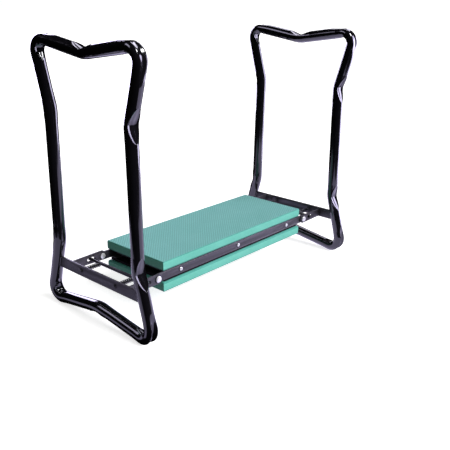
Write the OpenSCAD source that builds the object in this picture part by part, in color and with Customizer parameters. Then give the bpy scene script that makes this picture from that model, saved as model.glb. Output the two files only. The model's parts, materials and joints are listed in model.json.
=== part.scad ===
// Folding garden kneeler seat. Two closed tube legs turn on a padded seat frame and
// are held open by sprung lock rods. It stands on the floor with +Z up and +X along
// the seat, and the origin is on the floor under the middle of the seat. Turned
// over, the same frame is a kneeler with its two legs as handles.

/* [Leg tube] */
// Outside diameter of the leg tube
tube_d = 22; // [20:0.5:24]
// Wall thickness of the leg tube
tube_wall = 1.2; // [1:0.1:2]
// Distance between the planes of the two legs
leg_span = 574; // [566:2:600]
// Bend radius of the four corners, on the tube's centre line
corner_r = 21; // [19:0.5:24]
// Bend radius of the crushed bends in the posts and in the two cross runs
kink_r = 60; // [40:5:80]

/* [Leg outline, on the tube's centre line] */
// Half the width at the sharp lower corners
foot_half = 142; // [136:1:148]
// Half the width at the lower bend of the posts
lower_half = 108.5; // [106:0.5:112]
// Half the width at the upper bend of the posts
upper_half = 104.5; // [102:0.5:108]
// Half the width at the sharp upper corners
top_half = 138; // [134:1:142]
// Height of the lower bend over the lower corners
lower_rise = 122; // [118:1:126]
// Height of the upper bend over the lower corners
upper_rise = 362; // [350:1:370]
// Height of the upper corners over the lower corners
top_rise = 480; // [470:1:490]
// How far the middle of the foot run rises
foot_arch = 21; // [15:1:25]
// How far the middle of the handle run dips
handle_dip = 20.5; // [15:0.5:25]

/* [Seat] */
// Length of both foam pads
pad_l = 408; // [400:1:410]
// Width of both foam pads
pad_w = 155.4; // [155.2:0.1:156]
// Thickness of each foam pad
pad_t = 19; // [15:1:20]
// Thickness of each support board
board_t = 4.5; // [4:0.5:5]
// Height of the rails' webs
rail_h = 16.5; // [16:0.5:18]
// Width over the outside faces of the two rails
rail_w = 153; // [152:0.5:154]
// Sheet thickness of the rails
rail_t = 2; // [1.5:0.5:2.5]
// Distance of the outer cross struts from the middle
strut_x = 160; // [150:1:165]

/* [Hinge and lock] */
// Distance between the two fold pivots
pivot_span = 438; // [436:1:440]
// Height of the fold pivots above the floor
pivot_z = 84; // [83.5:0.5:84.5]
// Diameter of the pivot rivets' shanks
rivet_d = 8; // [6:0.5:8]
// Diameter of the lock rods
rod_d = 6.5; // [6:0.5:6.5]
// Distance from pivot to lock rod when the rod sits in its fork
lock_r = 20; // [20:0.5:20.5]
// How far the rod draws back to clear the fork, which is where it is drawn
lock_clear = 5; // [5:0.5:6]
// Distance of the two guide pins and springs from the middle
guide_y = 47; // [40:1:55]
// Diameter of the guide pins
guide_d = 5; // [4:0.5:5]

/* [Hidden] */
$fn = 64;

tube_black = "#141418";
sheet_grey = "#4b4653";
foam_green = "#74bcb0";
steel = "silver";

// Stack across each hinge, from the rail outwards
leg_x = leg_span / 2;
pivot_x = pivot_span / 2;
rail_y = rail_w / 2;
run_gap = 0.1;           // play beside each arm
spacer_t = 0.9;
arm_t = 2.5;
washer_t = 0.8;
arm_y = rail_y + spacer_t + run_gap;
washer_y = arm_y + arm_t + run_gap;
head_y = washer_y + washer_t;
head_d = 12;
head_rise = 3;
peen_d = 11;
peen_t = 2;

// Seat stack, from the rails' webs
rail_top = pivot_z + 0.5 * rail_h;
rail_bottom = rail_top - rail_h;
flange_w = 14;
flange_x = 198;          // the rails' lower flanges end here, short of the hinges
flange_top = rail_bottom + rail_t;
board_margin = 5;
pad_corner = 1.5;

// Cross struts: a hat section, open at the top, with a tab at each end
hat_w = 20;
hat_t = 1.5;
hat_h = rail_top - board_t - flange_top;
lip_w = 8;
strut_half = rail_y - rail_t;
tab_t = 2;

// Small screws
rail_screw_d = 4;
rail_head_d = 7;
rail_head_t = 2.4;
nut_across = 7;
nut_t = 3;
wood_screw_d = 3.5;
wood_head_d = 6;
wood_head_t = 2;
wood_bite = 3.5;         // depth of a screw in its board
hole_play = 0.3;
lower_screw_x = 80;
lower_screw_line = rail_y - rail_t - flange_w / 2;
upper_screw_y = 40;
lip_x = hat_w / 2 + lip_w / 2;  // the upper board's screws, beside each strut

// Fork at each end of a rail
fork_half = 7.5;
notch_half = 0.5 * rod_d + 0.3;
short_prong = lock_r + 1;
long_prong = lock_r + 9.5;

// Arms
arm_pivot_r = 9.5;
arm_end_half = 8.25;
arm_bend_r = 4;          // outside radius of the bent tab
arm_tab_w = 16;
slot_play = 0.2;
slot_travel = 10;
arm_reach = leg_x - pivot_x;

// Crossbars, lock rods and springs
bar_h = 21;
bar_t = 3;
rod_r_drawn = lock_r + lock_clear;
rod_stickout = 2;        // past the undersides of the rivet heads
rod_half = head_y + rod_stickout;
rod_chamfer = 0.8;
guide_hole_d = guide_d + 0.2;
collar_wall = 1.7;       // of the pressed-out rim round a guide hole
collar_h = 1.5;
pin_grip = 0.5;          // how far a pin stays in its hole with the rod home
wire_d = 1.4;
coil_d = 9;
coil_turns = 8;
turn_steps = 12;
wire_sides = 6;

// The leg's outline from the middle of the foot run up to the middle of the handle
half_outline = [
    [0, foot_arch], [foot_half, 0], [lower_half, lower_rise],
    [upper_half, upper_rise], [top_half, top_rise], [0, top_rise - handle_dip]
];
half_radii = [kink_r, corner_r, kink_r, kink_r, corner_r, kink_r];
outline = concat(half_outline, [for (i = [4:-1:1]) [-half_outline[i].x, half_outline[i].y]]);
radii = concat(half_radii, [for (i = [4:-1:1]) half_radii[i]]);
corners = len(outline);

function unit(v) = v / norm(v);
function corner(i) = outline[(i + corners) % corners];
function way_in(i) = unit(corner(i) - corner(i - 1));
function way_out(i) = unit(corner(i + 1) - corner(i));
function turn_of(i) = acos(way_in(i) * way_out(i));
function turn_side(i) = sign(way_in(i).x * way_out(i).y - way_in(i).y * way_out(i).x);
function tangent_of(i) = radii[(i + corners) % corners] * tan(turn_of(i) / 2);
function bend_start(i) = corner(i) - tangent_of(i) * way_in(i);
function bend_end(i) = corner(i) + tangent_of(i) * way_out(i);
function bend_centre(i) =
    bend_start(i) + radii[i] * turn_side(i) * [-way_in(i).y, way_in(i).x];
function angle_of(v) = atan2(v.y, v.x);

bend_swell = 0.05;
bend_overlap = 0.6;

// The lowest point of the tube is under the centre of a lower corner's bend
leg_lift = tube_d / 2 + bend_swell + corner_r - bend_centre(1).y;
post_lean = (foot_half - lower_half) / lower_rise;
post_y = foot_half - post_lean * (pivot_z - leg_lift);

// ---- leg tubes ----

// One run of round bar along the whole outline, in the XY plane. Each straight ends
// a little inside its bends, which are a hair thicker, as a bent tube's are.
module loop_bar(d) {
    for (i = [0:corners - 1]) {
        run = bend_start(i + 1 == corners ? 0 : i + 1) - bend_end(i);
        translate(concat(bend_end(i), 0))
            rotate([0, 0, angle_of(run)])
                rotate([0, 90, 0])
                    translate([0, 0, -bend_overlap])
                        cylinder(d = d, h = norm(run) + 2 * bend_overlap);
        first = turn_side(i) > 0 ? bend_start(i) : bend_end(i);
        translate(concat(bend_centre(i), 0))
            rotate([0, 0, angle_of(first - bend_centre(i))])
                rotate_extrude(angle = turn_of(i))
                    translate([radii[i], 0]) circle(r = d / 2 + bend_swell);
    }
}

// Turns a shape drawn in the XY plane to stand in a leg's plane
module in_leg_plane(x) {
    translate([x, 0, leg_lift]) rotate([90, 0, 90]) children();
}

module leg_loop(x) {
    color(tube_black) in_leg_plane(x) difference() {
        loop_bar(tube_d);
        loop_bar(tube_d - 2 * tube_wall);
    }
}

// The straight stretch of both posts that a crossbar is welded to
module lower_posts() {
    for (i = [1, 8]) {
        upright = corner(i == 1 ? 2 : 8) - corner(i == 1 ? 1 : 9);
        translate(concat(corner(i == 1 ? 1 : 9), 0))
            rotate([0, 0, angle_of(upright)])
                rotate([0, 90, 0])
                    cylinder(d = tube_d, h = norm(upright));
    }
}

module crossbar() {
    through = 2 * (bar_t + collar_h);
    color(sheet_grey) difference() {
        union() {
            translate([-leg_x - bar_t / 2, -post_y, pivot_z - bar_h / 2])
                cube([bar_t, 2 * post_y, bar_h]);
            for (side = [-1, 1])
                translate([-leg_x - bar_t / 2 - collar_h, side * guide_y, pivot_z])
                    rotate([0, 90, 0])
                        cylinder(d = guide_hole_d + 2 * collar_wall, h = collar_h + bar_t / 2);
        }
        in_leg_plane(-leg_x) lower_posts();
        for (side = [-1, 1])
            translate([-leg_x, side * guide_y, pivot_z])
                rotate([0, 90, 0])
                    cylinder(d = guide_hole_d, h = through, center = true);
    }
}

// ---- arms ----

// Outline of an arm from its pivot at the origin towards the crossbar, along +X
module arm_outline() {
    length = arm_reach - bar_t / 2 - arm_bend_r;
    difference() {
        union() {
            circle(r = arm_pivot_r);
            polygon([[0, arm_pivot_r], [length, arm_end_half],
                     [length, -arm_end_half], [0, -arm_pivot_r]]);
        }
        circle(d = rivet_d + run_gap);
        for (r = [lock_r, lock_r + slot_travel])
            translate([r, 0]) circle(d = rod_d + 2 * slot_play);
        translate([lock_r, -rod_d / 2 - slot_play])
            square([slot_travel, rod_d + 2 * slot_play]);
    }
}

// The front arm of the left leg, with its tab bent in against the crossbar
module arm() {
    bend_x = -leg_x + bar_t / 2 + arm_bend_r;
    bend_y = arm_y + arm_t - arm_bend_r;
    color(sheet_grey) {
        translate([-pivot_x, -arm_y, pivot_z])
            rotate([90, 0, 0])
                linear_extrude(arm_t) mirror([1, 0]) arm_outline();
        translate([bend_x, -bend_y, pivot_z - arm_end_half])
            rotate([0, 0, 180])
                rotate_extrude(angle = 90)
                    translate([arm_bend_r - arm_t, 0])
                        square([arm_t, 2 * arm_end_half]);
        translate([-leg_x + bar_t / 2, -bend_y, pivot_z - arm_end_half])
            cube([arm_t, arm_tab_w, 2 * arm_end_half]);
    }
}

// ---- lock rods, guide pins and springs ----

module lock_rod() {
    tip = rod_d - 2 * rod_chamfer;
    color(tube_black)
        translate([-pivot_x - rod_r_drawn, 0, pivot_z])
            rotate([90, 0, 0]) {
                cylinder(d = rod_d, h = 2 * (rod_half - rod_chamfer), center = true);
                for (side = [0, 180])
                    rotate([side, 0, 0])
                        translate([0, 0, rod_half - rod_chamfer])
                            cylinder(d1 = rod_d, d2 = tip, h = rod_chamfer);
            }
}

module guide_pins() {
    // With the rod home in its fork, the pins still end inside the crossbar's holes
    pin_end = -leg_x + bar_t / 2 - pin_grip - lock_clear;
    color(steel) difference() {
        for (side = [-1, 1])
            translate([pin_end, side * guide_y, pivot_z])
                rotate([0, 90, 0])
                    cylinder(d = guide_d, h = -pivot_x - rod_r_drawn - pin_end);
        lock_rod();
    }
}

// A ring of wire at a share s of the coil's length, then all the rings in turn
function coil_ring(s, length) =
    let (a = 360 * coil_turns * s,
         mean_r = (coil_d - wire_d) / 2,
         x = wire_d / 2 + s * (length - wire_d))
    [for (k = [0:wire_sides - 1])
        let (b = 360 * k / wire_sides,
             r = mean_r + wire_d / 2 * cos(b))
        [x + wire_d / 2 * sin(b), r * cos(a), r * sin(a)]];

module coil_spring(length) {
    rings = coil_turns * turn_steps;
    points = [for (i = [0:rings]) each coil_ring(i / rings, length)];
    sides = [for (i = [0:rings - 1], k = [0:wire_sides - 1])
        let (a = i * wire_sides, b = a + wire_sides, n = (k + 1) % wire_sides)
        each [[a + k, a + n, b + n], [a + k, b + n, b + k]]];
    first = [for (k = [wire_sides - 1:-1:0]) k];
    last = [for (k = [0:wire_sides - 1]) rings * wire_sides + k];
    polyhedron(points = points, faces = concat([first], sides, [last]));
}

module springs() {
    start = -leg_x + bar_t / 2;
    end = -pivot_x - rod_r_drawn - rod_d / 2;
    color(steel)
        for (side = [-1, 1])
            translate([start, side * guide_y, pivot_z])
                coil_spring(end - start);
}

// ---- seat frame ----

// The web of a rail in the plane of its sheet, with a fork past each pivot
module rail_outline() {
    square([2 * pivot_x, rail_h], center = true);
    for (side = [0, 1])
        mirror([side, 0])
            translate([pivot_x, 0])
                difference() {
                    polygon([
                        [-1, -fork_half], [lock_r + 4, -fork_half],
                        [long_prong, -notch_half - 0.5], [long_prong, 0],
                        [short_prong, 0], [short_prong, notch_half + 1],
                        [short_prong - 2.5, fork_half], [-1, fork_half]
                    ]);
                    translate([lock_r, 0]) circle(r = notch_half);
                    translate([lock_r, -notch_half]) square([20, 2 * notch_half]);
                }
}

// The front rail: a web on edge with a flange turned in along its lower side
module rail() {
    color(sheet_grey) difference() {
        union() {
            translate([0, -rail_y + rail_t, pivot_z])
                rotate([90, 0, 0])
                    linear_extrude(rail_t) rail_outline();
            translate([-flange_x, -rail_y, rail_bottom])
                cube([2 * flange_x, flange_w + rail_t, rail_t]);
        }
        for (side = [-1, 1])
            translate([side * pivot_x, -rail_y + rail_t / 2, pivot_z])
                rotate([90, 0, 0])
                    cylinder(d = rivet_d, h = 2 * rail_t, center = true);
        for (x = [-strut_x, 0, strut_x])
            translate([x, -rail_y + rail_t / 2, pivot_z])
                rotate([90, 0, 0])
                    cylinder(d = rail_screw_d + hole_play, h = 2 * rail_t, center = true);
        for (side = [-1, 1])
            translate([side * lower_screw_x, -lower_screw_line, rail_bottom])
                cylinder(d = wood_screw_d + hole_play, h = 3 * rail_t, center = true);
    }
}

module hat_outline() {
    half = hat_w / 2;
    polygon([
        [-half, 0], [half, 0], [half, hat_h - hat_t], [half + lip_w, hat_h - hat_t],
        [half + lip_w, hat_h], [half - hat_t, hat_h], [half - hat_t, hat_t],
        [hat_t - half, hat_t], [hat_t - half, hat_h], [-half - lip_w, hat_h],
        [-half - lip_w, hat_h - hat_t], [-half, hat_h - hat_t]
    ]);
}

module strut(x) {
    color(sheet_grey) difference() {
        union() {
            translate([x, strut_half, flange_top])
                rotate([90, 0, 0])
                    linear_extrude(2 * strut_half) hat_outline();
            for (side = [0, 1])
                mirror([0, side, 0])
                    translate([x - hat_w / 2, strut_half - tab_t, flange_top])
                        cube([hat_w, tab_t, hat_h]);
        }
        translate([x, 0, pivot_z])
            rotate([90, 0, 0])
                cylinder(d = rail_screw_d + hole_play, h = 3 * strut_half, center = true);
        for (side = [-1, 1])
            translate([x + side * lip_x, side * upper_screw_y, rail_top - board_t - hat_t])
                cylinder(d = wood_screw_d + hole_play, h = 3 * hat_t, center = true);
    }
}

module upper_board() {
    color("#1c1b1d") difference() {
        translate([-flange_x, -strut_half + 0.5, rail_top - board_t])
            cube([2 * flange_x, 2 * strut_half - 1, board_t]);
        for (x = [-strut_x, 0, strut_x], side = [-1, 1])
            translate([x + side * lip_x, side * upper_screw_y, rail_top - board_t - 1])
                cylinder(d = wood_screw_d, h = wood_bite + 1);
    }
}

module lower_board() {
    color("#1c1b1d") difference() {
        translate([board_margin - pad_l / 2, -strut_half, rail_bottom - board_t])
            cube([pad_l - 2 * board_margin, 2 * strut_half, board_t]);
        for (side = [-1, 1], front = [-1, 1])
            translate([side * lower_screw_x, front * lower_screw_line, rail_bottom - wood_bite])
                cylinder(d = wood_screw_d, h = wood_bite + 1);
    }
}

module foam_pad(bottom) {
    color(foam_green)
        translate([0, 0, bottom]) linear_extrude(pad_t) {
            square([pad_l - 2 * pad_corner, pad_w], center = true);
            square([pad_l, pad_w - 2 * pad_corner], center = true);
            for (a = [-1, 1], b = [-1, 1])
                translate([a * (pad_l / 2 - pad_corner), b * (pad_w / 2 - pad_corner)])
                    circle(r = pad_corner);
        }
}

// ---- fasteners ----

// Puts a shape at both ends of both rails; the shape points outwards along +Z
module at_pivots(y) {
    for (x = [-pivot_x, pivot_x], side = [0, 1])
        mirror([0, side, 0])
            translate([x, -y, pivot_z]) rotate([90, 0, 0]) children();
}

module pivot_rivet() {
    dome_r = (pow(head_d / 2, 2) + pow(head_rise, 2)) / (2 * head_rise);
    inside = rail_y - rail_t;
    translate([0, 0, inside - peen_t]) cylinder(d = peen_d, h = peen_t);
    translate([0, 0, inside]) cylinder(d = rivet_d, h = head_y - inside);
    intersection() {
        translate([0, 0, head_y + head_rise - dome_r]) sphere(r = dome_r);
        translate([0, 0, head_y]) cylinder(d = head_d, h = head_rise);
    }
}

module ring(outer, inner, thickness) {
    difference() {
        cylinder(d = outer, h = thickness);
        translate([0, 0, -1]) cylinder(d = inner, h = thickness + 2);
    }
}

// Puts a shape at each strut end, outside the rails; it points outwards along +Z
module at_rail_screws(y) {
    for (x = [-strut_x, 0, strut_x], side = [0, 1])
        mirror([0, side, 0])
            translate([x, -y, pivot_z]) rotate([90, 0, 0]) children();
}

module rail_screw() {
    dome_r = 4;
    length = rail_t + tab_t + nut_t + 1;
    translate([0, 0, -length]) cylinder(d = rail_screw_d, h = length);
    intersection() {
        cylinder(d = rail_head_d, h = rail_head_t);
        translate([0, 0, rail_head_t - dome_r]) sphere(r = dome_r);
    }
}

module rail_nut() {
    difference() {
        cylinder(d = nut_across / cos(30), h = nut_t, $fn = 6);
        translate([0, 0, -1]) cylinder(d = rail_screw_d, h = nut_t + 2);
    }
}

// A short board screw with its head down and its point up
module board_screw(sheet) {
    translate([0, 0, -wood_head_t]) cylinder(d = wood_head_d, h = wood_head_t);
    cylinder(d = wood_screw_d, h = sheet + wood_bite);
}

module upper_board_screws() {
    color(steel)
        for (x = [-strut_x, 0, strut_x], side = [-1, 1])
            translate([x + side * lip_x, side * upper_screw_y, rail_top - board_t - hat_t])
                board_screw(hat_t);
}

module lower_board_screws() {
    color(steel)
        for (side = [-1, 1], front = [-1, 1])
            translate([side * lower_screw_x, front * lower_screw_line, flange_top])
                rotate([180, 0, 0]) board_screw(rail_t);
}

// ---- mirror images ----

module to_right() { mirror([1, 0, 0]) children(); }
module to_rear() { mirror([0, 1, 0]) children(); }

leg_loop(-leg_x);  // left_loop
leg_loop(leg_x);  // right_loop
crossbar();  // left_crossbar
to_right() crossbar();  // right_crossbar
arm();  // left_front_arm
to_rear() arm();  // left_rear_arm
to_right() arm();  // right_front_arm
to_right() to_rear() arm();  // right_rear_arm
lock_rod();  // left_lock_rod
to_right() lock_rod();  // right_lock_rod
guide_pins();  // left_guide_pins
to_right() guide_pins();  // right_guide_pins
springs();  // left_springs
to_right() springs();  // right_springs
rail();  // front_rail
to_rear() rail();  // rear_rail
strut(-strut_x);  // left_strut
strut(0);  // middle_strut
strut(strut_x);  // right_strut
upper_board();
lower_board();
foam_pad(rail_top);  // top_pad
foam_pad(rail_bottom - board_t - pad_t);  // bottom_pad
color(steel) at_pivots(0) pivot_rivet();  // pivot_rivets
color(tube_black) at_pivots(rail_y) ring(16, rivet_d, spacer_t);  // pivot_spacers
color(tube_black) at_pivots(washer_y) ring(14, rivet_d, washer_t);  // rivet_washers
color(steel) at_rail_screws(rail_y) rail_screw();  // rail_screws
color(steel) at_rail_screws(rail_y - rail_t - tab_t - nut_t) rail_nut();  // rail_nuts
upper_board_screws();
lower_board_screws();
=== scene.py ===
"""Looks of the folding garden kneeler seat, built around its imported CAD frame."""

import json
import math

import bmesh
import bpy
import numpy as np
from mathutils import Matrix, Vector


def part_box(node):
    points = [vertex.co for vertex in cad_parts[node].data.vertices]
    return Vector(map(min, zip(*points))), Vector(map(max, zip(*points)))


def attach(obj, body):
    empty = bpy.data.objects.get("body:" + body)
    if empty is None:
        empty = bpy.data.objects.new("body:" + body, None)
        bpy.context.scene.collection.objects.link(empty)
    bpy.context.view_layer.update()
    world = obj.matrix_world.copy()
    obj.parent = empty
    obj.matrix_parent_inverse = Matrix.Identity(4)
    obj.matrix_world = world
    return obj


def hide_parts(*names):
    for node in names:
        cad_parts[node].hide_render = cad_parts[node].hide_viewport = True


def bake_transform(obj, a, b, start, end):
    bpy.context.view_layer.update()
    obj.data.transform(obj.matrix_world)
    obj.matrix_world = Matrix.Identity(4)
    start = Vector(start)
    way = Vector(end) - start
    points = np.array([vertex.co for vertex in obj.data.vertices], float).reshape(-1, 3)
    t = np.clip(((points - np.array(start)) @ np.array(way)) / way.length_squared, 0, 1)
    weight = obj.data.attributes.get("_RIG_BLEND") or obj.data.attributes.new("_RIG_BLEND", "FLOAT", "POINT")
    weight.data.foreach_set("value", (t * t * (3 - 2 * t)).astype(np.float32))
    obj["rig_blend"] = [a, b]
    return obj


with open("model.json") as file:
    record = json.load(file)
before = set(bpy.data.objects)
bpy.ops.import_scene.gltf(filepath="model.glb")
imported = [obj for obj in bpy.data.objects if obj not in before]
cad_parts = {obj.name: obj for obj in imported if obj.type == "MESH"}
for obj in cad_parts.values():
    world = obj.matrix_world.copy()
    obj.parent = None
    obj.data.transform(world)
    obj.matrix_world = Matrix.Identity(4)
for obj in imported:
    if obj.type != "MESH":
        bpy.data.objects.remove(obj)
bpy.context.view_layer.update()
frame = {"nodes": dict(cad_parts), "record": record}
MM = 0.001

# The body that each CAD node belongs to
BODY_OF = {node: body for body, nodes in frame["record"]["behaviour"]["bodies"].items()
           for node in nodes}

# ---- the part's own sizes, in millimetres, the same as in its CAD source ----

TUBE_R = 11.0
LEG_X = 287.0
PIVOT_X = 219.0
PIVOT_Z = 84.0
GUIDE_Y = 47.0           # a spring's middle
# Half of a leg's centre line: (y, height over the lower corner), and its bend radii
SHARP_R = 21
WIDE_R = 60
HALF_OUTLINE = [(0, 21), (142, 0), (108.5, 122), (104.5, 362), (138, 480), (0, 459.5)]
HALF_RADII = [WIDE_R, SHARP_R, WIDE_R, WIDE_R, SHARP_R, WIDE_R]
LOW_KINK_HEIGHT = HALF_OUTLINE[2][1]
BEND_SWELL = 0.05        # the CAD tube's radius is this much larger in its bends
POST_Y = 120.7           # a post's centre line, at the height of the crossbar
ROD_R_DRAWN = 25.0       # from a pivot to the lock rod, drawn out of its forks
ROD_R = 3.25
BAR_T = 3.0              # of a crossbar
RAIL_T = 2.0

# The pads' embossed skin: the pitch of its diamonds along either edge
EMBOSS_PITCH = 6.0


# ---- materials ----


class Finish:
    """A Principled material, and short calls that add nodes to it."""

    def __init__(self, name, **sockets):
        self.material = bpy.data.materials.new(name)
        self.material.use_nodes = True
        self.tree = self.material.node_tree
        self.shader = self.tree.nodes["Principled BSDF"]
        for key, value in sockets.items():
            self.shader.inputs[key.replace("_", " ")].default_value = value
        self.place = self.tree.nodes.new("ShaderNodeTexCoord").outputs["Object"]

    def node(self, kind, inputs=None, **props):
        made = self.tree.nodes.new("ShaderNode" + kind)
        for key, value in props.items():
            setattr(made, key, value)
        for key, value in (inputs or {}).items():
            if isinstance(value, bpy.types.NodeSocket):
                self.tree.links.new(value, made.inputs[key])
            else:
                made.inputs[key].default_value = value
        return made

    def noise(self, size_mm, detail=3.0, rough=0.5, stretch=None):
        """Noise with features about size_mm across; stretch scales the three axes first."""
        vector = self.place
        if stretch:
            vector = self.node("Mapping", {"Vector": vector, "Scale": stretch}).outputs["Vector"]
        inputs = {"Vector": vector, "Scale": 1000.0 / size_mm, "Detail": detail, "Roughness": rough}
        return self.node("TexNoise", inputs).outputs["Fac"]

    def cells(self, size_mm, feature="F1"):
        inputs = {"Vector": self.place, "Scale": 1000.0 / size_mm}
        return self.node("TexVoronoi", inputs, feature=feature).outputs["Distance"]

    def span(self, value, low, high, to_low=0.0, to_high=1.0):
        """Maps value from low..high to to_low..to_high, clamped."""
        inputs = {"Value": value, "From Min": low, "From Max": high,
                  "To Min": to_low, "To Max": to_high}
        return self.node("MapRange", inputs).outputs["Result"]

    def math(self, operation, a, b=0.0):
        return self.node("Math", {0: a, 1: b}, operation=operation).outputs["Value"]

    def mix(self, share, a, b):
        made = self.node("Mix", data_type="RGBA")
        for index, value in ((0, share), (6, a), (7, b)):
            if isinstance(value, bpy.types.NodeSocket):
                self.tree.links.new(value, made.inputs[index])
            else:
                made.inputs[index].default_value = value
        return made.outputs[2]

    def height(self):
        """The place's Z, in metres."""
        return self.node("SeparateXYZ", {"Vector": self.place}).outputs["Z"]

    def edges(self, low=0.52, high=0.62):
        """1 along worn outer edges, 0 elsewhere."""
        geometry = self.node("NewGeometry")
        return self.span(geometry.outputs["Pointiness"], low, high)

    def color(self, value):
        self.tree.links.new(value, self.shader.inputs["Base Color"])

    def roughness(self, value):
        self.tree.links.new(value, self.shader.inputs["Roughness"])

    def bump(self, layers):
        """layers: (height, distance in mm) pairs, laid one over another."""
        normal = None
        for height, distance_mm in layers:
            inputs = {"Height": height, "Distance": distance_mm * MM, "Strength": 1.0}
            if normal is not None:
                inputs["Normal"] = normal
            normal = self.node("Bump", inputs).outputs["Normal"]
        self.tree.links.new(normal, self.shader.inputs["Normal"])


def rgb(r, g, b):
    return (r, g, b, 1.0)


def gloss_tube_paint():
    f = Finish("gloss_black_powder_coat", Specular_IOR_Level=0.45, Coat_Weight=0.8,
               Coat_Roughness=0.06, Coat_IOR=1.5)
    cloud = f.noise(22, 3)
    scuffs = f.noise(5, 6, 0.7, (1, 1, 0.25))
    near_floor = f.span(f.height(), 0.022, 0.004)
    worn = f.math("MULTIPLY", f.span(scuffs, 0.56, 0.68), near_floor)
    f.color(f.mix(worn, f.mix(cloud, rgb(0.0035, 0.0033, 0.0045), rgb(0.007, 0.0065, 0.009)),
                  rgb(0.045, 0.044, 0.048)))
    base = f.span(f.noise(9, 4), 0.3, 0.7, 0.1, 0.17)
    f.roughness(f.math("ADD", base, f.math("MULTIPLY", worn, 0.35)))
    f.bump([(f.noise(4.5, 2), 0.025), (f.noise(0.7, 2), 0.004)])
    return f.material


def satin_sheet_paint():
    f = Finish("satin_grey_sheet_paint", Specular_IOR_Level=0.5, Metallic=0.25)
    cloud = f.noise(30, 4)
    base = f.mix(cloud, rgb(0.040, 0.037, 0.046), rgb(0.058, 0.053, 0.066))
    worn = f.math("MULTIPLY", f.edges(), f.span(f.noise(2.2, 5, 0.65), 0.42, 0.62))
    f.color(f.mix(worn, base, rgb(0.16, 0.155, 0.17)))
    f.roughness(f.span(f.noise(4, 4), 0.3, 0.7, 0.33, 0.45))
    f.bump([(f.noise(1.1, 3), 0.03), (f.noise(0.35, 2), 0.012)])
    return f.material


def rod_paint():
    f = Finish("black_bar_paint", Specular_IOR_Level=0.45)
    rubbed = f.math("MULTIPLY", f.span(f.noise(1.6, 5, 0.7, (1, 0.2, 1)), 0.5, 0.66), 0.6)
    f.color(f.mix(rubbed, rgb(0.008, 0.008, 0.010), rgb(0.07, 0.07, 0.075)))
    f.roughness(f.span(f.noise(3, 4), 0.3, 0.7, 0.26, 0.4))
    f.bump([(f.noise(0.9, 3), 0.02)])
    return f.material


def zinc_plate():
    f = Finish("bright_zinc_plate", Metallic=0.55)
    grain = f.noise(0.5, 4, 0.6)
    f.color(f.mix(grain, rgb(0.80, 0.80, 0.82), rgb(0.95, 0.95, 0.95)))
    f.roughness(f.span(f.noise(1.8, 4), 0.3, 0.7, 0.28, 0.42))
    f.bump([(grain, 0.012)])
    return f.material


def spring_steel():
    f = Finish("dark_spring_wire", Metallic=0.85)
    f.color(f.mix(f.noise(2.5, 3), rgb(0.05, 0.05, 0.055), rgb(0.13, 0.13, 0.14)))
    f.roughness(f.span(f.noise(1.2, 3), 0.3, 0.7, 0.25, 0.42))
    f.bump([(f.noise(0.4, 2), 0.01)])
    return f.material


def foam_base(name, dark, light, fleck):
    """Foam that is a little patchy, with small flecks of its cells, and its colour so far."""
    f = Finish(name, Specular_IOR_Level=0.3, Sheen_Weight=0.25, Sheen_Roughness=0.4,
               Sheen_Tint=rgb(0.8, 0.75, 1.0))
    patches = f.span(f.noise(45, 4), 0.3, 0.7)
    flecks = f.math("MULTIPLY", f.span(f.noise(1.6, 3, 0.6), 0.35, 0.65), 0.45)
    f.roughness(f.span(f.noise(3, 4), 0.3, 0.7, 0.6, 0.8))
    return f, f.mix(flecks, f.mix(patches, dark, light), fleck)


def foam_skin():
    """The embossed skin of a pad's broad faces: its grooves are painted darker than its diamonds, as painted
    shade in them.
    """
    # The skin's paler, bluer tint than the sawn sides is a painted reflection of light on the broad faces.
    f, base = foam_base("embossed_foam_skin", rgb(0.15, 0.465, 0.43), rgb(0.18, 0.51, 0.475),
                        rgb(0.23, 0.58, 0.545))
    axes = f.node("SeparateXYZ", {"Vector": f.place})
    waves = []
    for operation in ("ADD", "SUBTRACT"):
        across = f.math(operation, axes.outputs["X"], axes.outputs["Y"])
        turn = f.math("MULTIPLY", across, math.pi * 1000 / EMBOSS_PITCH)
        waves.append(f.math("ABSOLUTE", f.math("SINE", turn)))
    diamond = f.math("MULTIPLY", *waves)
    # Painted shade: the grooves between the diamonds are darkened.
    groove = f.math("MULTIPLY", f.span(diamond, 0.5, 0.05), 0.9)
    f.color(f.mix(groove, base, rgb(0.085, 0.30, 0.27)))
    f.bump([(f.cells(0.9), 0.04), (f.noise(0.5, 3), 0.03)])
    return f.material


def foam_rim_and_shade():
    """Darker foam for a pad's rounded edges, and painted shade on the lower pad's top band, for the shade
    that the rails and board above cast on it.
    """
    f, base = foam_base("foam_rim_and_shade", rgb(0.05, 0.29, 0.23), rgb(0.07, 0.34, 0.275),
                        rgb(0.10, 0.42, 0.35))
    f.color(base)
    f.bump([(f.cells(0.9), 0.04), (f.noise(0.5, 3), 0.03)])
    return f.material


def foam_cut():
    """The sawn sides of a pad, with faint saw lines along them; they are greener than the skin, whose paler,
    bluer tint is a painted reflection of light on the broad faces.
    """
    f, base = foam_base("sawn_foam_side", rgb(0.115, 0.485, 0.385), rgb(0.145, 0.55, 0.445),
                        rgb(0.20, 0.64, 0.54))
    lines = f.noise(1.2, 3, 0.6, (0.06, 0.06, 1))
    worn = f.math("MULTIPLY", f.edges(0.5, 0.58), f.span(f.noise(6, 4), 0.4, 0.7))
    f.color(f.mix(f.math("MULTIPLY", worn, 0.3), base, rgb(0.29, 0.66, 0.58)))
    f.bump([(lines, 0.12), (f.cells(0.7), 0.06), (f.noise(0.5, 3), 0.03)])
    return f.material


def hardboard():
    f = Finish("black_board_with_gap_shade", Specular_IOR_Level=0.15)
    fibres = f.noise(1.5, 5, 0.7, (0.15, 1, 1))
    # A black board, painted darker still so that its edge reads as the shaded gap under the rails: painted
    # shade.
    f.color(f.mix(fibres, rgb(0.0025, 0.0025, 0.003), rgb(0.008, 0.0075, 0.0075)))
    f.roughness(f.span(fibres, 0.3, 0.7, 0.55, 0.75))
    f.bump([(fibres, 0.05)])
    return f.material


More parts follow.
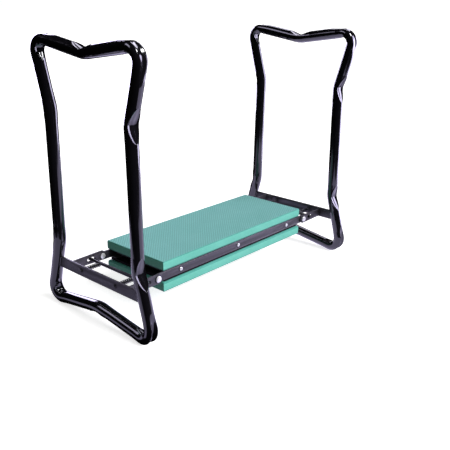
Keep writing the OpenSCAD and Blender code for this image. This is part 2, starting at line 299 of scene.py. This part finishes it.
FOAM_CUT, FOAM_RIM_AND_SHADE = foam_cut(), foam_rim_and_shade()
FINISHES = {
    "tube_black": gloss_tube_paint(),
    "sheet_grey": satin_sheet_paint(),
    "rod_black": rod_paint(),
    "zinc_steel": zinc_plate(),
    "spring_steel": spring_steel(),
    "foam_green": foam_skin(),
    "board_black": hardboard(),
}


# ---- making pieces ----


def add_object(name, data):
    made = bpy.data.objects.new(name, data)
    bpy.context.scene.collection.objects.link(made)
    return made


def new_piece(name, points_mm, faces, slot, smooth_angle=35):
    """A mesh object from points in millimetres, with smooth shading but for its sharp edges."""
    mesh = bpy.data.meshes.new(name)
    mesh.from_pydata([tuple(float(c) * MM for c in p) for p in points_mm], [], faces)
    return finish_piece(name, mesh, slot, smooth_angle)


def finish_piece(name, mesh, slot, smooth_angle=35):
    """Makes a mesh an object with outward normals and the finish of its slot."""
    mesh.validate()
    bm = bmesh.new()
    bm.from_mesh(mesh)
    bmesh.ops.recalc_face_normals(bm, faces=bm.faces)
    bm.to_mesh(mesh)
    bm.free()
    mesh.shade_smooth()
    mesh.set_sharp_from_angle(angle=math.radians(smooth_angle))
    mesh.materials.clear()
    mesh.materials.append(FINISHES[slot])
    piece = add_object(name, mesh)
    return piece


def stand_for(piece, *nodes):
    """The piece takes the place of these nodes and rides on their body."""
    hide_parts(*nodes)
    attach(piece, BODY_OF[nodes[0]])
    return piece


def loft(rings, closed=False):
    """Faces between equal rings of points, in turn; closed joins the last ring to the first."""
    count, sides = len(rings), len(rings[0])
    faces = []
    for i in range(count if closed else count - 1):
        a, b = i * sides, (i + 1) % count * sides
        for k in range(sides):
            n = (k + 1) % sides
            faces.append((a + k, a + n, b + n, b + k))
    if not closed:
        faces.append(tuple(range(sides - 1, -1, -1)))
        faces.append(tuple((count - 1) * sides + k for k in range(sides)))
    return [p for ring in rings for p in ring], faces


def join(parts):
    """One list of points and faces out of several."""
    points, faces = [], []
    for some_points, some_faces in parts:
        start = len(points)
        points.extend(some_points)
        faces.extend(tuple(start + i for i in f) for f in some_faces)
    return points, faces


def placed(part, matrix):
    """The part's points and faces, moved by the matrix."""
    points, faces = part
    return [tuple(matrix @ Vector(p)) for p in points], faces


def facing(x, y, z, side):
    """A place whose +Z points out of the front (side -1) or rear (+1) rail."""
    turn = Matrix.Rotation(math.radians(-90 * side), 4, "X")
    return Matrix.Translation((x, y, z)) @ turn


def circle(radius, z, steps):
    """A level ring of points round Z."""
    turns = [2 * math.pi * k / steps for k in range(steps)]
    return [(radius * math.cos(a), radius * math.sin(a), z) for a in turns]


def lathe(profile, steps):
    """Turns (radius, height) pairs round Z, closed at both ends."""
    return loft([circle(r, z, steps) for r, z in profile])


# ---- leg tubes ----

# Crushed bends, in millimetres: half the length and half the width of each dent, its depth,
# the lip pushed up round it, and how blunt the crease across it is
KINK_DENT = {"long": 30.0, "wide": 10.2, "deep": 9.4, "rim": 0.9, "crease": 0.12}
CORNER_DENT = {"long": 33.0, "wide": 8.4, "deep": 6.2, "rim": 0.6, "crease": 0.3}
# Grooves along the outside of the sharp bends, with the height of the lobes beside them and
# the share by which they flatten the tube
FOOT_GROOVE = {"long": 46.0, "wide": 5.2, "deep": 7.5, "lobe": 1.7, "flat": 0.03}
HANDLE_GROOVE = {"long": 52.0, "wide": 5.4, "deep": 2.8, "lobe": 0.0, "flat": 0.18}
DENT_WIDENS = 0.07       # share by which the tube widens across a dent
GROOVE_WIDENS = 0.06
LOW_KINK_DROP = 3.5      # the lower kinks' dents sit a little below the bends
# Spacing of the tube's sections: close together within reach of a bend's middle
RING_STEP = 0.8
PLAIN_STEP = 7.0
DENT_REACH = 54.0
TUBE_SIDES = 80
RIM_SHARE = 0.35         # share of a half ring's points that lie inside a dent


def unit(v):
    return v / np.linalg.norm(v)


def leg_path():
    """The closed centre line: its runs, each a bend or a straight, its bends and its length."""
    half = [np.array(p, float) for p in HALF_OUTLINE]
    points = half + [np.array((-p[0], p[1])) for p in half[4:0:-1]]
    radii = HALF_RADII + HALF_RADII[4:0:-1]
    count = len(points)
    bends = []
    for i in range(count):
        way_in = unit(points[i] - points[i - 1])
        way_out = unit(points[(i + 1) % count] - points[i])
        turn = math.acos(float(np.clip(way_in @ way_out, -1, 1)))
        side = 1.0 if way_in[0] * way_out[1] - way_in[1] * way_out[0] > 0 else -1.0
        tangent = radii[i] * math.tan(turn / 2)
        start, end = points[i] - tangent * way_in, points[i] + tangent * way_out
        centre = start + radii[i] * side * np.array((-way_in[1], way_in[0]))
        bends.append({"start": start, "end": end, "centre": centre, "turn": turn,
                      "side": side, "radius": radii[i], "way": way_in})
    runs, travelled = [], 0.0
    for i, bend in enumerate(bends):
        length = bend["radius"] * bend["turn"]
        bend["middle"] = travelled + length / 2
        runs.append((travelled, length, bend, None))
        travelled += length
        gap = bends[(i + 1) % count]["start"] - bend["end"]
        length = float(np.linalg.norm(gap))
        runs.append((travelled, length, None, (bend["end"], unit(gap))))
        travelled += length
    return runs, bends, travelled


def on_path(runs, s):
    """Point and direction at distance s along the path."""
    for start, length, bend, line in runs:
        if s <= start + length + 1e-9:
            break
    if line is not None:
        return line[0] + (s - start) * line[1], line[1]
    angle = (s - start) / bend["radius"] * bend["side"]
    c, n = math.cos(angle), math.sin(angle)
    turned = np.array(((c, -n), (n, c)))
    return bend["centre"] + turned @ (bend["start"] - bend["centre"]), turned @ bend["way"]


def past_bends(s, bends, total):
    """How far s lies past the middle of each bend, the short way round the closed path."""
    return [(s - b["middle"] + total / 2) % total - total / 2 for b in bends]


def dent_stations(bends, total):
    """Distances along the path, close together near the bends."""
    stations, s = [], 0.0
    while s < total - RING_STEP * 0.5:
        stations.append(s)
        clear = min(abs(d) for d in past_bends(s, bends, total)) - DENT_REACH
        s += RING_STEP if clear < 0 else min(PLAIN_STEP, clear + RING_STEP)
    return stations


def dent_half_width(t, dent):
    """Half width of a dent at t, which runs from -1 to 1 along it."""
    return dent["wide"] * max(1 - t * t, 0.0) ** 0.58


def dented(angles, s, side, dent):
    """Section of the tube at distance s from a bend's middle, pressed in on one side.

    The points are moved round the ring first, so that one lies on each rim of the dent."""
    t = s / dent["long"]
    turned = (angles - (0 if side > 0 else math.pi) + math.pi) % (2 * math.pi) - math.pi
    share = np.abs(turned) / math.pi
    rim = math.asin(min(0.97, dent_half_width(t, dent) / TUBE_R))
    spread = np.where(share < RIM_SHARE, rim * share / RIM_SHARE,
                      rim + (math.pi - rim) * (share - RIM_SHARE) / (1 - RIM_SHARE))
    hold = float(np.clip((1.45 - abs(t)) / 0.4, 0, 1))
    hold = hold * hold * (3 - 2 * hold)
    turned = np.sign(turned) * (hold * spread + (1 - hold) * np.abs(turned))
    a, b = TUBE_R * np.cos(turned), TUBE_R * np.sin(turned)
    if abs(t) >= 1:
        return a, b
    soft = dent["crease"]
    fall = (math.sqrt(t * t + soft * soft) - soft) / (math.sqrt(1 + soft * soft) - soft)
    q = np.abs(b) / max(dent_half_width(t, dent), 0.01)
    inside = share < RIM_SHARE - 1e-6
    deep = dent["deep"] * (1 - fall) ** 0.9
    ridge = dent["rim"] * (1 - t * t) * np.clip(1 - (q - 1) / 0.25, 0, 1) * (a > 0)
    a = np.where(inside, a + ridge - deep * (1 - q ** 3.2), a + ridge)
    return a, b * (1 + DENT_WIDENS * (1 - t * t))


def grooved(a, b, s, groove):
    """A soft lengthwise groove on the side away from the bend's centre, between two lobes."""
    t = s / groove["long"]
    if abs(t) >= 1:
        return a, b
    q = np.abs(b) / groove["wide"]
    fade = (1 - t * t) ** 2
    hollow = groove["deep"] * fade * np.clip(1 - (q / 1.35) ** 2, 0, None) ** 1.6
    lobe = groove["lobe"] * fade * np.exp(-((q - 1.15) / 0.45) ** 2)
    pressed = a * (1 - groove["flat"] * fade) + hollow - lobe
    return np.where(a < 0, pressed, a), b * (1 + GROOVE_WIDENS * fade)


def leg_rings(x):
    """Sections of one leg's tube, round its whole closed path, with all their dents."""
    runs, bends, total = leg_path()
    lowest = min(b["centre"][1] for b in bends if b["radius"] == SHARP_R)
    lift = TUBE_R + BEND_SWELL + SHARP_R - lowest
    angles = np.linspace(0, 2 * math.pi, TUBE_SIDES, endpoint=False)
    rings = []
    for s in dent_stations(bends, total):
        point, way = on_path(runs, s)
        gaps = past_bends(s, bends, total)
        nearest = int(np.argmin(np.abs(gaps)))
        bend, away = bends[nearest], gaps[nearest]
        sharp = bend["radius"] == SHARP_R
        on_post = abs(way[1]) > 0.5
        if on_post and not sharp and abs(point[1] - LOW_KINK_HEIGHT) < DENT_REACH:
            away += math.copysign(LOW_KINK_DROP, way[1])
        a, b = dented(angles, away, bend["side"], CORNER_DENT if sharp else KINK_DENT)
        if sharp:
            groove = FOOT_GROOVE if point[1] < LOW_KINK_HEIGHT else HANDLE_GROOVE
            a, b = grooved(a, b, away, groove)
        a = a * bend["side"]
        if bend["side"] < 0:
            b = -b
        left = np.array((-way[1], way[0]))
        rings.append([(x + b[k], point[0] + a[k] * left[0], lift + point[1] + a[k] * left[1])
                      for k in range(TUBE_SIDES)])
    return rings


def make_leg_tubes():
    for name, x in (("left", -LEG_X), ("right", LEG_X)):
        points, faces = loft(leg_rings(x), closed=True)
        stand_for(new_piece(name + "_leg_tube", points, faces, "tube_black", 50), name + "_loop")


# ---- foam pads ----

PAD_ROUND = 1.5
SEAT_SIDE_ROUND = 3.2    # the edges that the boards press are rounder
EDGE_STEPS = (0.0, 0.15, 0.45, 0.9, 1.5, 2.3)    # grid lines within a rounded edge
PAD_GRID = 0.9           # and between them
PAD_INSET = 0.4          # of the broad faces, which leaves room for their swell
PAD_SWELL = 0.35
PAD_BOW = 0.25           # of the sawn sides, halfway up
PAD_WAVER = 0.12
SIDE_LEVELS = 10
SHADE_BAND = 3.4           # height of the dark band under the lower pad's board
SWELL_REACH = 12.0       # from a pad's edge to where its swell is full
EMBOSS_DEPTH = 0.55
EMBOSS_START = 1.0       # from a pad's edge
EMBOSS_FADE = 3.0        # from there to where the emboss is full
# Places of a pad's finishes in its list of materials
SKIN, CUT, RIM_AND_SHADE = 0, 1, 2


def pad_lines(low, high):
    """Grid lines from low to high, closer together in the rounded edges."""
    inner = np.linspace(low + SEAT_SIDE_ROUND, high - SEAT_SIDE_ROUND,
                        int((high - low - 2 * SEAT_SIDE_ROUND) / PAD_GRID) + 1)
    return np.array([low + e for e in EDGE_STEPS] + list(inner)
                    + [high - e for e in EDGE_STEPS[::-1]])


def pad_face(xs, ys, z, out, radius):
    """Heights of one broad face of a pad; out is +1 for its top face and -1 for its bottom."""
    x, y = np.meshgrid(xs, ys, indexing="ij")
    edge = np.minimum(np.minimum(x - xs[0], xs[-1] - x), np.minimum(y - ys[0], ys[-1] - y))
    into = np.clip(radius - edge, 0, None)
    fall = radius - np.sqrt(np.clip(radius ** 2 - into ** 2, 0, None))
    u = (x + y) * math.pi / EMBOSS_PITCH
    v = (x - y) * math.pi / EMBOSS_PITCH
    diamond = np.abs(np.sin(u)) * np.abs(np.sin(v))
    emboss = EMBOSS_DEPTH * (1 - np.clip(diamond / 0.55, 0, 1)) ** 1.5
    emboss *= np.clip((edge - EMBOSS_START) / EMBOSS_FADE, 0, 1)
    swell = PAD_SWELL * np.sin(x * 0.021 + 0.6) * np.cos(y * 0.035 + 0.3)
    swell *= np.clip(edge / SWELL_REACH, 0, 1)
    return z - out * (fall + emboss + PAD_INSET - swell)


def pad_mesh(low, high, is_lower):
    """A pad's two embossed faces, and the sawn sides that join them."""
    xs, ys = pad_lines(low[0], high[0]), pad_lines(low[1], high[1])
    nx, ny = len(xs), len(ys)
    top = pad_face(xs, ys, high[2], 1, SEAT_SIDE_ROUND if is_lower else PAD_ROUND)
    bottom = pad_face(xs, ys, low[2], -1, PAD_ROUND if is_lower else SEAT_SIDE_ROUND)
    points = [(xs[i], ys[j], top[i, j]) for i in range(nx) for j in range(ny)]
    points += [(xs[i], ys[j], bottom[i, j]) for i in range(nx) for j in range(ny)]
    size = nx * ny
    faces = []
    for i in range(nx - 1):
        for j in range(ny - 1):
            a = i * ny + j
            faces.append((a, a + ny, a + ny + 1, a + 1))
            faces.append((size + a, size + a + 1, size + a + ny + 1, size + a + ny))
    border = ([i * ny for i in range(nx)] + [(nx - 1) * ny + j for j in range(1, ny)]
              + [i * ny + ny - 1 for i in range(nx - 2, -1, -1)]
              + [j for j in range(ny - 2, 0, -1)])
    rings = [border]
    for level in range(1, SIDE_LEVELS):
        share = level / SIDE_LEVELS
        ring = []
        for b in border:
            x, y, z_top = points[b]
            z = z_top + share * (points[size + b][2] - z_top)
            bow = PAD_BOW * math.sin(math.pi * share)
            waver = PAD_WAVER * math.sin(x * 0.11 + z * 0.3) * math.sin(y * 0.13 + 1.0)
            nudge = bow + waver
            cx = x + math.copysign(nudge, x) if abs(x) > high[0] - 0.01 else x
            cy = y + math.copysign(nudge, y) if abs(y) > high[1] - 0.01 else y
            ring.append(len(points))
            points.append((cx, cy, z))
        rings.append(ring)
    rings.append([size + b for b in border])
    for upper, lower in zip(rings, rings[1:]):
        count = len(upper)
        for k in range(count):
            n = (k + 1) % count
            faces.append((upper[k], lower[k], lower[n], upper[n]))
    return points, faces


def make_pads():
    for node, name in (("top_pad", "upper_foam_pad"), ("bottom_pad", "lower_foam_pad")):
        low, high = (np.array(c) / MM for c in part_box(node))
        piece = new_piece(name, *pad_mesh(low, high, node == "bottom_pad"), "foam_green", 40)
        for extra in (FOAM_CUT, FOAM_RIM_AND_SHADE):
            piece.data.materials.append(extra)
        for face in piece.data.polygons:
            flat, height = abs(face.normal.z), face.center.z / MM
            # The lower pad's top band takes painted shade, standing for the shade of the rails and board
            # above it; the rounded edges take the same darker foam.
            pressed = node == "bottom_pad" and height > high[2] - SHADE_BAND
            if pressed or 0.15 < flat < 0.88:
                face.material_index = RIM_AND_SHADE
            else:
                face.material_index = SKIN if flat > 0.5 else CUT
        stand_for(piece, node)


# ---- sheet metal and bars, from the CAD's own shapes ----


def bevelled(node, slot, width_mm):
    """A copy of a node's shape with its hard edges rounded; it stands for the node."""
    mesh = frame["nodes"][node].data.copy()
    bm = bmesh.new()
    bm.from_mesh(mesh)
    bmesh.ops.remove_doubles(bm, verts=bm.verts, dist=2e-6)
    bmesh.ops.dissolve_limit(bm, angle_limit=math.radians(0.6), verts=bm.verts, edges=bm.edges)
    bm.to_mesh(mesh)
    bm.free()
    for name in [a.name for a in mesh.attributes if a.name in ("custom_normal", "sharp_face")]:
        mesh.attributes.remove(mesh.attributes[name])
    carrier = add_object("carrier", mesh)
    bevel = carrier.modifiers.new("edges", "BEVEL")
    bevel.width = width_mm * MM
    bevel.segments = 2
    bevel.limit_method = "ANGLE"
    bevel.angle_limit = math.radians(38)
    bevel.use_clamp_overlap = True
    evaluated = carrier.evaluated_get(bpy.context.evaluated_depsgraph_get())
    rounded = bpy.data.meshes.new_from_object(evaluated)
    bpy.data.objects.remove(carrier)
    stand_for(finish_piece(node + "_finished", rounded, slot), node)


# Each family's slot, the width of its rounded edges in millimetres, and its nodes
BEVELLED = (
    ("sheet_grey", 0.35, ("left_crossbar", "right_crossbar", "left_front_arm", "left_rear_arm",
                          "right_front_arm", "right_rear_arm", "front_rail", "rear_rail")),
    ("sheet_grey", 0.25, ("left_strut", "middle_strut", "right_strut")),
    ("board_black", 0.5, ("upper_board", "lower_board")),
    ("rod_black", 0.2, ("left_lock_rod", "right_lock_rod")),
    ("rod_black", 0.3, ("left_guide_pins", "right_guide_pins")),
    ("rod_black", 0.15, ("pivot_spacers", "rivet_washers")),
    ("zinc_steel", 0.2, ("rail_nuts", "upper_board_screws", "lower_board_screws")),
)


def make_bevelled():
    for slot, width_mm, nodes in BEVELLED:
        for node in nodes:
            bevelled(node, slot, width_mm)


# ---- weld beads ----

BEAD_R = 1.7
BEAD_PITCH = 2.1         # of its ripples
BEAD_STEP = 0.35
BEAD_SIDES = 14
BEAD_INSET = 0.6         # from the bar's edges


def bead(start, end, out, along_bar):
    """A rippled fillet bead from start to end, in the corner between out and along_bar."""
    start, end, out, along_bar = (np.array(v, float) for v in (start, end, out, along_bar))
    length = float(np.linalg.norm(end - start))
    way = (end - start) / length
    steps = int(length / BEAD_STEP)
    rings = []
    for i in range(steps + 1):
        s = length * i / steps
        taper = min(1.0, (min(s, length - s) + 0.3) / 1.6)
        ripple = 1 + 0.12 * abs(math.sin(math.pi * s / BEAD_PITCH))
        r = BEAD_R * ripple * taper ** 0.5
        centre = start + way * s
        ring = []
        for k in range(BEAD_SIDES):
            a = 2 * math.pi * k / BEAD_SIDES
            lag = way * 0.5 * math.cos(a)
            ring.append(tuple(centre + out * r * math.cos(a) + along_bar * r * math.sin(a) + lag))
        rings.append(ring)
    return loft(rings)


def make_weld_beads():
    """Upright beads on both faces of each crossbar where it meets the two posts."""
    lean = (HALF_OUTLINE[1][0] - HALF_OUTLINE[2][0]) / LOW_KINK_HEIGHT
    low, high = (np.array(c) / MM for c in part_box("left_crossbar"))
    for name, x in (("left", -LEG_X), ("right", LEG_X)):
        parts = []
        for face in (-1, 1):
            for side in (-1, 1):
                ends = []
                for z in (low[2] + BEAD_INSET, high[2] - BEAD_INSET):
                    post = POST_Y - lean * (z - PIVOT_Z)
                    ends.append((x + face * (BAR_T / 2 + 0.2), side * (post - TUBE_R + 0.35), z))
                parts.append(bead(ends[0], ends[1], (face, 0, 0), (0, -side, 0)))
        points, faces = join(parts)
        piece = new_piece(name + "_weld_beads", points, faces, "tube_black", 60)
        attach(piece, name + "_leg")


# ---- rivets and screws ----

RIVET_R = 4.0
RIVET_HEAD_R = 6.0
RIVET_HEAD_H = 3.0
SCREW_R = 2.0
SCREW_HEAD_R = 3.5
SCREW_HEAD_H = 2.4
# The cross in a screw's head: half its length, half the width of an arm, and its depth
CROSS = {"long": 2.2, "wide": 0.42, "deep": 1.1}


def rivet_head(head_y, inside):
    """Rivet from its peened tail inside the rail to its domed head, along +Z."""
    dome = [(RIVET_HEAD_R * math.sin(a) ** 0.6, head_y + 0.4 + 2.4 * math.cos(a) ** 0.8)
            for a in np.radians(np.linspace(90, 6, 16))]
    dimple = [(1.1, head_y + 2.8), (0.8, head_y + 2.6), (0.3, head_y + 2.5)]
    return [(0.4, inside - 2.0), (4.4, inside - 2.0), (5.3, inside - 1.5), (5.5, inside - 0.6),
            (5.3, inside), (RIVET_R, inside + 0.05), (RIVET_R, head_y),
            (RIVET_HEAD_R - 0.2, head_y), (RIVET_HEAD_R, head_y + 0.2)] + dome + dimple


def make_rivets():
    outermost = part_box("pivot_rivets")[1][1] / MM
    rail_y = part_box("front_rail")[0][1] / MM
    rivet = lathe(rivet_head(outermost - RIVET_HEAD_H, -rail_y - RAIL_T), 56)
    points, faces = join([placed(rivet, facing(x, 0, PIVOT_Z, side))
                          for x in (-PIVOT_X, PIVOT_X) for side in (-1, 1)])
    stand_for(new_piece("hinge_rivets", points, faces, "zinc_steel", 30), "pivot_rivets")


def cross_recess_head():
    """A pan head of a screw, with a cross pressed into it, on a shank below it."""
    profile = [(0.3, -7.9), (SCREW_R - 0.4, -7.9), (SCREW_R, -7.4), (SCREW_R, -0.1),
               (SCREW_HEAD_R - 0.1, 0.0), (SCREW_HEAD_R, 0.25)]
    profile += [(SCREW_HEAD_R * math.sin(a), 0.5 + 1.75 * math.cos(a) ** 0.8)
                for a in np.radians(np.linspace(88, 2, 22))]
    rings = []
    for r, height in profile:
        ring = []
        for x, y, z in circle(r, height, 64):
            arm, reach = sorted((abs(x), abs(y)))
            cut = 0.0
            if z > 0.5 and reach < CROSS["long"] and arm < CROSS["wide"]:
                cut = CROSS["deep"] * min(1.0, CROSS["long"] + 0.1 - reach)
                cut *= min(1.0, (CROSS["wide"] + 0.08 - arm) / 0.12)
            ring.append((x, y, z - cut))
        rings.append(ring)
    return loft(rings)


def make_rail_screws():
    high = np.array(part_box("rail_screws")[1]) / MM
    seat_y = high[1] - SCREW_HEAD_H
    strut_x = high[0] - SCREW_HEAD_R
    parts = []
    for number, x in enumerate((-strut_x, 0.0, strut_x)):
        for side in (-1, 1):
            twist = Matrix.Rotation(math.radians(23 + 37 * number + 11 * side), 4, "Z")
            place = facing(x, side * seat_y, PIVOT_Z, side) @ twist
            parts.append(placed(cross_recess_head(), place))
    points, faces = join(parts)
    stand_for(new_piece("rail_pan_screws", points, faces, "zinc_steel", 30), "rail_screws")


# ---- springs ----

WIRE_R = 0.7
COIL_R = 3.8
COIL_TURNS = 8           # besides one closed turn at each end
STEPS_PER_TURN = 36
WIRE_SIDES = 12


def coil(start_x, end_x, y, z):
    """A round-wire spring along X, with its end turns closed."""
    turns = COIL_TURNS + 2
    steps = turns * STEPS_PER_TURN
    length = abs(end_x - start_x)
    sign = 1 if end_x > start_x else -1
    dead = 1.0 / turns
    closed = 2 * WIRE_R * 1.05
    rings = []
    for i in range(steps + 1):
        s = i / steps
        angle = 2 * math.pi * turns * s
        if s < dead:
            along = closed * s / dead
        elif s > 1 - dead:
            along = length - 2 * WIRE_R - closed * (1 - s) / dead
        else:
            open_share = (s - dead) / (1 - 2 * dead)
            along = closed + open_share * (length - 2 * WIRE_R - 2 * closed)
        x = start_x + sign * (WIRE_R + along)
        ring = []
        for k in range(WIRE_SIDES):
            b = 2 * math.pi * k / WIRE_SIDES
            r = COIL_R + WIRE_R * math.cos(b)
            ring.append((x + sign * WIRE_R * math.sin(b), y + r * math.cos(angle),
                         z + r * math.sin(angle)))
        rings.append(ring)
    return loft(rings)


def make_springs():
    for name, sign in (("left", -1), ("right", 1)):
        start = sign * (LEG_X - BAR_T / 2)
        end = sign * (PIVOT_X + ROD_R_DRAWN + ROD_R)
        points, faces = join([coil(start, end, side * GUIDE_Y, PIVOT_Z) for side in (-1, 1)])
        piece = new_piece(name + "_coil_springs", points, faces, "spring_steel", 60)
        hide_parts(name + "_springs")
        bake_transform(piece, name + "_leg", name + "_lock",
                 start=(start * MM, 0, PIVOT_Z * MM), end=(end * MM, 0, PIVOT_Z * MM))


# ---- stage, light and camera ----

# The stage and its lights are in metres
STAGE_R = 30.0
FLOOR_GLOW = 0.73
BACKDROP_GLOW = 1.02
LILAC = rgb(0.73, 0.67, 1.0)
WHITE = rgb(1.0, 1.0, 1.0)
MIDDLE = (0, 0, 0.15)    # what the lights point at
CARD_Z = -0.004
# Pale cards just under the floor that only show in reflections: glow, x0, y0, x1 and y1
CARDS = {
    "bounce_card": (1.5, -0.27, -0.8, 0.9, 0.5),
    "dim_card": (0.95, -0.66, -0.12, -0.33, 0.42),
}
# Panels that only show in reflections: azimuth, elevation, distance, colour, watts and size
PANELS = {
    "side_panel": (68, 6, 3.0, (0.76, 0.71, 1.0), 90, 1.5, 2.4),
    "rear_panel": (165, 12, 3.0, (0.76, 0.70, 1.0), 60, 1.2, 2.0),
    "right_rear_panel": (114, 43, 3.0, (0.85, 0.82, 1.0), 20, 1.5, 1.1),
    "left_panel": (-125, 40, 3.0, (0.8, 0.75, 1.0), 14, 1.2, 1.0),
    "top_panel": (18, 58, 2.6, (0.95, 0.95, 1.0), 70, 1.0, 0.6),
}


def plain_material(name, color, roughness, glow, glow_color=WHITE):
    return Finish(name, Base_Color=color, Roughness=roughness, Specular_IOR_Level=0.1,
                  Emission_Color=glow_color, Emission_Strength=glow).material


def add_to_stage(name, points, faces, material, to_camera):
    """Adds a sheet that shows to the camera, or else in reflections, and lights nothing."""
    mesh = bpy.data.meshes.new(name)
    mesh.from_pydata(points, [], faces)
    mesh.materials.append(material)
    sheet = add_object(name, mesh)
    sheet.visible_camera = to_camera
    sheet.visible_glossy = not to_camera
    sheet.visible_diffuse = False
    sheet.visible_transmission = False
    sheet.visible_shadow = False


def make_stage():
    """The pale floor, a dome round it as a backdrop, and the cards."""
    sides = 96
    add_to_stage("floor", circle(STAGE_R, 0, sides), [tuple(range(sides))],
                 plain_material("pale_floor", rgb(0.86, 0.86, 0.87), 0.8, FLOOR_GLOW), True)
    points, faces = loft([circle(STAGE_R * math.cos(a), STAGE_R * math.sin(a), sides)
                          for a in np.radians(np.linspace(-4, 88, 24))])
    add_to_stage("backdrop", points, faces[:-2],
                 plain_material("pale_backdrop", rgb(0, 0, 0), 1.0, BACKDROP_GLOW), True)
    for name, (glow, x0, y0, x1, y1) in CARDS.items():
        corners = [(x, y, CARD_Z) for x, y in ((x0, y0), (x1, y0), (x1, y1), (x0, y1))]
        card = plain_material(name, rgb(0, 0, 0), 1.0, glow, LILAC)
        add_to_stage(name, corners, [(0, 1, 2, 3)], card, False)


def polar(azimuth, elevation, distance):
    """A place seen from the part's middle at these angles, in degrees."""
    a, e = math.radians(azimuth), math.radians(elevation)
    return (distance * math.sin(a) * math.cos(e), -distance * math.cos(a) * math.cos(e),
            distance * math.sin(e) + MIDDLE[2])


def add_light(name, kind, place, color, energy, only_gloss, **props):
    """A light at place that points at the middle, and gives only gloss or only matt light."""
    data = bpy.data.lights.new(name, kind)
    data.color = color
    data.energy = energy
    for key, value in props.items():
        setattr(data, key, value)
    light = add_object(name, data)
    light.location = place
    light.rotation_mode = "QUATERNION"
    light.rotation_quaternion = (Vector(MIDDLE) - Vector(place)).to_track_quat("-Z", "Y")
    light.visible_camera = False
    light.visible_glossy = only_gloss
    light.visible_diffuse = not only_gloss


def make_lights():
    world = bpy.data.worlds.new("studio")
    bpy.context.scene.world = world
    world.use_nodes = True
    background = world.node_tree.nodes["Background"]
    background.inputs["Color"].default_value = rgb(0.98, 1.0, 0.84)
    background.inputs["Strength"].default_value = 0.16
    world.cycles_visibility.glossy = False
    add_light("key", "SUN", polar(16, 38, 5), (1.0, 0.98, 1.03), 3.95, False,
              angle=math.radians(40))
    for name, (azimuth, elevation, distance, color, watts, wide, high) in PANELS.items():
        add_light(name, "AREA", polar(azimuth, elevation, distance), color, watts, True,
                  shape="RECTANGLE", size=wide, size_y=high)


# Where the viewer stands, in millimetres, and the lens that gives that view
VIEW_POINT = (-896.6, -832.8, 551.0)
VIEW_AZIMUTH, VIEW_ELEVATION, VIEW_ROLL = -48.54, 19.93, 0.665
LENS_MM = 50.63


def make_camera():
    data = bpy.data.cameras.new("camera")
    data.sensor_width = 36.0
    data.lens = LENS_MM
    data.clip_start, data.clip_end = 0.05, 200.0
    camera = add_object("camera", data)
    a, e = math.radians(VIEW_AZIMUTH), math.radians(VIEW_ELEVATION)
    back = Vector((math.sin(a) * math.cos(e), -math.cos(a) * math.cos(e), math.sin(e)))
    right = (-back).cross(Vector((0, 0, 1))).normalized()
    up = right.cross(-back)
    c, s = math.cos(math.radians(VIEW_ROLL)), math.sin(math.radians(VIEW_ROLL))
    right, up = c * right + s * up, c * up - s * right
    camera.matrix_world = Matrix.Translation([v * MM for v in VIEW_POINT]) @ Matrix(
        (right, up, back)).transposed().to_4x4()
    bpy.context.scene.camera = camera


make_leg_tubes()
make_pads()
make_bevelled()
make_weld_beads()
make_rivets()
make_rail_screws()
make_springs()
make_stage()
make_lights()
make_camera()
bpy.context.scene.view_settings.view_transform = "Standard"
